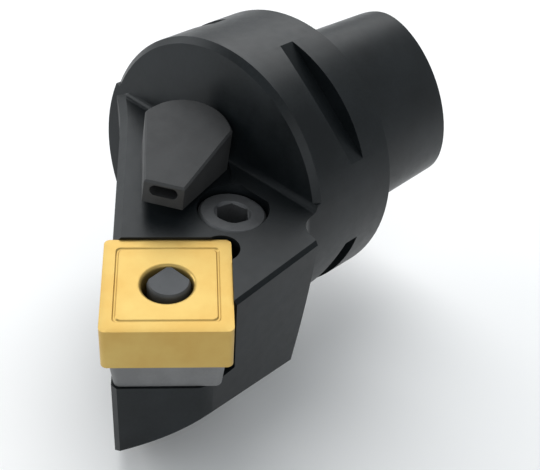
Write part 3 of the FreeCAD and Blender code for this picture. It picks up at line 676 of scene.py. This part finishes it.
drawbarThread = {
    "mouth": -9.6,
    "end": 2.0,
    "coreRadius": 6.2,
    "depth": 0.8,
    "overrun": 0.15,
    "pitch": 1.5,
}
leverHead = {
    "centre": (-0.39, -0.11, 0.1),
    "flatDistance": 1.95,
    "flatDepth": 1.1,
    "cutterSize": 4,
}


def shapeLeverHead(piece):
    # cuts the head's two flats, which face the pocket's corner
    s = leverHead
    size = s["cutterSize"]
    centre = seatPlace @ Matrix.Translation(Vector(s["centre"]) * mm)
    reach = s["flatDistance"] + size / 2
    for x, y in ((-1, 0), (0, -1)):
        middle = Vector((x * reach, y * reach, size / 2 - s["flatDepth"])) * mm
        shape = Matrix.Diagonal((1 + abs(y), 1 + abs(x), 1, 1))
        bpy.ops.object.select_all(action="DESELECT")
        bpy.ops.mesh.primitive_cube_add(size=size * mm)
        cutter = bpy.context.object
        placePiece(cutter, centre @ Matrix.Translation(middle) @ shape)
        cutWith(piece, cutter)


def cutDrawbarThread(piece, s):
    crest = s["coreRadius"] + s["depth"]
    groove = windRidge(crest, s["depth"] + s["overrun"], s["pitch"], s["end"], s["mouth"])
    placePiece(groove, Matrix.Rotation(math.radians(90), 4, "Y"))
    cutWith(piece, groove)


softPieces = {
    "tool_body": {
        "name": "headBody", "body": "head", "slot": "black_oxide_steel",
        "edgeRound": 0.12, "looks": ("blackOxideSteel", "wornEdgeSteel")},
    "insert_shim": {
        "name": "shimPlate", "body": "head", "slot": "grey_carbide",
        "edgeRound": 0.1, "looks": ("groundCarbide", "groundCarbide")},
    "shim_pin": {
        "name": "splitPin", "body": "head", "slot": "spring_steel",
        "edgeRound": 0.08, "looks": ("springSteel", "springSteel")},
    "clamp_lever": {
        "name": "leverArm", "body": "lever", "slot": "dark_steel",
        "edgeRound": 0.1, "looks": ("leverSteel", "leverSteel")},
    "coolant_nozzle": {
        "name": "nozzleBody", "body": "nozzle", "slot": "nozzle_steel",
        "edgeRound": 0.1, "looks": ("nozzleSteel", "nozzleEdgeSteel")},
}
softSmoothAngle = 32
for node, plan in softPieces.items():
    reshape = shapeLeverHead if node == "clamp_lever" else None
    piece = softenedCopy(node, plan["name"], plan["edgeRound"], reshape)
    if node == "tool_body":
        cutDrawbarThread(piece, drawbarThread)
    smoothPiece(piece, softSmoothAngle)
    materials = [steels[look] for look in plan["looks"]]
    finishPiece(piece, plan["body"], materials, [node])
    print(plan["name"], len(piece.data.polygons), "faces")

ring = frame["nodes"]["nozzle_o_ring"]
ring.data.materials.clear()
ring.data.materials.append(sealRubber)

studio = {
    "floorWidth": 4,
    "floorDark": (0.93, 0.93, 0.93),
    "floorLight": (0.96, 0.96, 0.96),
    "floorRoughness": 0.7,
    "airColour": (0.92, 0.97, 1.0, 1),
    "airStrength": 0.52,
    "aim": (0.03, 0, 0),
}
lamps = {
    "backLeftSoftbox": {"place": (-0.28, -0.30, 0.50), "width": 0.70, "power": 3.3},
    "leftSoftbox": {"place": (0.25, -0.45, 0.15), "width": 0.30, "power": 1.2},
    "frontFill": {"place": (0.55, 0.45, 0.25), "width": 0.6, "power": 1.2},
}


def addStudio(s):
    bpy.ops.object.select_all(action="DESELECT")
    bpy.ops.mesh.primitive_plane_add(size=s["floorWidth"], location=(0, 0, cadLow.z))
    floor = bpy.context.object
    floor.name = "floor"
    paint = Finish("floorPaint", Roughness=s["floorRoughness"])
    cloud = paint.noise(noiseScales["floorCloud"])
    paint.feed("Base Color", paint.blendColours(cloud, s["floorDark"], s["floorLight"]))
    floor.data.materials.append(paint.material)
    world = bpy.data.worlds.new("studioAir")
    world.use_nodes = True
    air = world.node_tree.nodes["Background"]
    air.inputs["Color"].default_value = s["airColour"]
    air.inputs["Strength"].default_value = s["airStrength"]
    bpy.context.scene.world = world


def addLamp(name, s, aim):
    bpy.ops.object.light_add(type="AREA", location=s["place"])
    lamp = bpy.context.object
    lamp.name = name
    lamp.data.shape = "DISK"
    lamp.data.size = s["width"]
    lamp.data.energy = s["power"]
    beam = Vector(aim) - Vector(s["place"])
    lamp.rotation_euler = beam.to_track_quat("-Z", "Y").to_euler()


addStudio(studio)
for name, lamp in lamps.items():
    addLamp(name, lamp, studio["aim"])

cameraSettings = {
    "place": (0.12611, 0.09087, 0.09287),
    "turn": (54.300, -8.257, 131.448),
    "lens": 81.1,
    "clipStart": 0.005,
}
bpy.ops.object.camera_add(location=cameraSettings["place"])
camera = bpy.context.object
camera.rotation_euler = [math.radians(angle) for angle in cameraSettings["turn"]]
camera.data.lens = cameraSettings["lens"]
camera.data.clip_start = cameraSettings["clipStart"]
bpy.context.scene.camera = camera
bpy.context.scene.view_settings.view_transform = "Standard"
print("studio ready")
